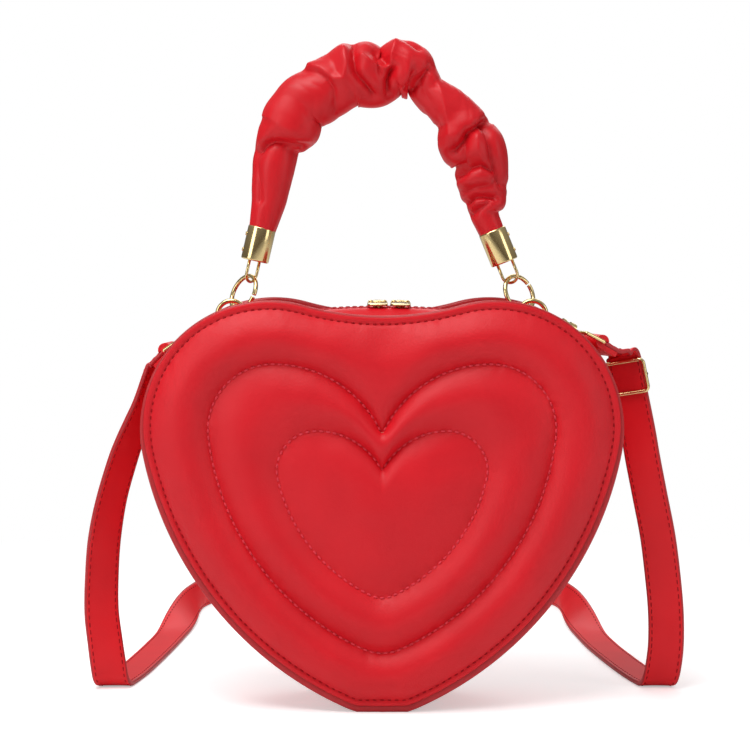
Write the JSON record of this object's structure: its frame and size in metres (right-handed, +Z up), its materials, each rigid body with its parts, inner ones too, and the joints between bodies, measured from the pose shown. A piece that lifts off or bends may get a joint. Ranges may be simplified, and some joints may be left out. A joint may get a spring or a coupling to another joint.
{
  "type": "heart shaped purse",
  "caption": "Quilted red heart shaped purse with a ruched top handle on gold rings, a two-way zip and a shoulder strap clipped on with swivel hooks.",
  "frame": {"origin": "middle of the small flat under the heart's tip that the bag stands on", "axes": "+X to the right seen from the front, +Y from the front to the back, +Z up"},
  "size_m": [0.3022, 0.3735, 0.3243],
  "materials": {
    "leather": "red synthetic leather, semi-matte, fine grain",
    "padding": "soft foam",
    "board": "grey fibre board",
    "lining": "woven tan cloth",
    "zip_tape": "woven dark red tape",
    "core": "twisted cotton rope",
    "gold": "pale gold plate, polished"
  },
  "bodies": {
    "bag": {"front_cover": "leather", "front_foam": "padding", "front_board": "board", "front_lining": "lining", "back_cover": "leather", "back_foam": "padding", "back_board": "board", "back_lining": "lining", "gusset": "leather", "gusset_lining": "lining", "pocket": "lining", "zip_strip_front": "leather", "zip_strip_back": "leather", "zip_tape_front": "zip_tape", "zip_tape_back": "zip_tape", "zip_teeth_front": "zip_tape", "zip_teeth_back": "zip_tape", "zip_stops": "gold", "tab_left": "leather", "tab_right": "leather"},
    "slider_left": {"slider_left": "gold"},
    "slider_right": {"slider_right": "gold"},
    "pull_left": {"pull_left": "gold"},
    "pull_right": {"pull_right": "gold"},
    "d_ring_left": {"loop_left": "gold"},
    "d_ring_right": {"loop_right": "gold"},
    "o_ring_left": {"ring_left": "gold"},
    "o_ring_right": {"ring_right": "gold"},
    "handle": {"bail_left": "gold", "bail_right": "gold", "cap_left": "gold", "cap_right": "gold", "cap_screws": "gold", "handle_core": "core", "handle_sleeve": "leather"},
    "strap": {"strap": "leather", "strap_fold_left": "leather", "strap_fold_right": "leather", "eye_left": "gold", "eye_right": "gold"},
    "adjuster": {"slide_frame": "gold"},
    "hook_left": {"hook_left": "gold", "gate_pin_left": "gold"},
    "hook_right": {"hook_right": "gold", "gate_pin_right": "gold"},
    "gate_left": {"gate_left": "gold"},
    "gate_right": {"gate_right": "gold"}
  },
  "joints": [
    {"name": "slider_left_run", "type": "hinge", "parent": "bag", "child": "slider_left", "pos_m": [0, 0, -0.2062], "axis": [0, 1, 0], "range_deg": [-7.8, 0]},
    {"name": "slider_right_run", "type": "hinge", "parent": "bag", "child": "slider_right", "pos_m": [0, 0, -0.2062], "axis": [0, 1, 0], "range_deg": [0, 6.8]},
    {"name": "pull_left_flip", "type": "hinge", "parent": "slider_left", "child": "pull_left", "pos_m": [-0.00216, 0, 0.19654], "axis": [1, 0, 0.0054], "range_deg": [-170, 0]},
    {"name": "pull_right_flip", "type": "hinge", "parent": "slider_right", "child": "pull_right", "pos_m": [0.00921, 0, 0.19645], "axis": [0.9997, 0, -0.0229], "range_deg": [-170, 0]},
    {"name": "d_ring_left_swing", "type": "hinge", "parent": "bag", "child": "d_ring_left", "pos_m": [-0.0745, 0, 0.1886], "axis": [1, 0, 0], "range_deg": [-8, 8]},
    {"name": "d_ring_right_swing", "type": "hinge", "parent": "bag", "child": "d_ring_right", "pos_m": [0.0745, 0, 0.1886], "axis": [1, 0, 0], "range_deg": [-8, 8]},
    {"name": "o_ring_left_swing", "type": "hinge", "parent": "d_ring_left", "child": "o_ring_left", "pos_m": [-0.07199, 0, 0.19392], "axis": [1, 0, 0], "range_deg": [-7, 7]},
    {"name": "o_ring_right_swing", "type": "hinge", "parent": "d_ring_right", "child": "o_ring_right", "pos_m": [0.07183, 0, 0.19383], "axis": [1, 0, 0], "range_deg": [-7, 7]},
    {"name": "handle_tilt", "type": "hinge", "parent": "o_ring_left", "child": "handle", "pos_m": [-0.06471, 0, 0.20761], "axis": [1, 0, 0], "range_deg": [-35, 20]},
    {"name": "strap_swing", "type": "hinge", "parent": "bag", "child": "strap", "pos_m": [0, 0, 0.1911], "axis": [1, 0, 0], "range_deg": [0, 11]},
    {"name": "adjuster_run", "type": "slide", "parent": "strap", "child": "adjuster", "axis": [0.1998, 0.0313, -0.9793], "range_m": [0, 0.016]},
    {"name": "hook_left_swivel", "type": "hinge", "parent": "strap", "child": "hook_left", "pos_m": [-0.0779, 0, 0.1911], "axis": [-0.8339, 0.0891, -0.5446], "range_deg": [-5, 5]},
    {"name": "hook_right_swivel", "type": "hinge", "parent": "strap", "child": "hook_right", "pos_m": [0.0779, 0, 0.1911], "axis": [0.8577, 0.2787, -0.4321], "range_deg": [-5, 5]},
    {"name": "gate_left_open", "type": "hinge", "parent": "hook_left", "child": "gate_left", "pos_m": [-0.08535, 0.00276, 0.1861], "axis": [-0.5416, 0.0579, 0.8387], "range_deg": [-12, 0], "stiffness_Nm_per_rad": 0.004, "springref_deg": 8.59},
    {"name": "gate_right_open", "type": "hinge", "parent": "hook_right", "child": "gate_right", "pos_m": [0.08518, 0.00442, 0.18713], "axis": [0.4109, 0.1335, 0.9018], "range_deg": [0, 12], "stiffness_Nm_per_rad": 0.004, "springref_deg": -8.59}
  ],
  "couplings": [
    {"joint": "d_ring_right_swing", "follows": "d_ring_left_swing", "ratio": 1},
    {"joint": "o_ring_right_swing", "follows": "o_ring_left_swing", "ratio": 1}
  ]
}
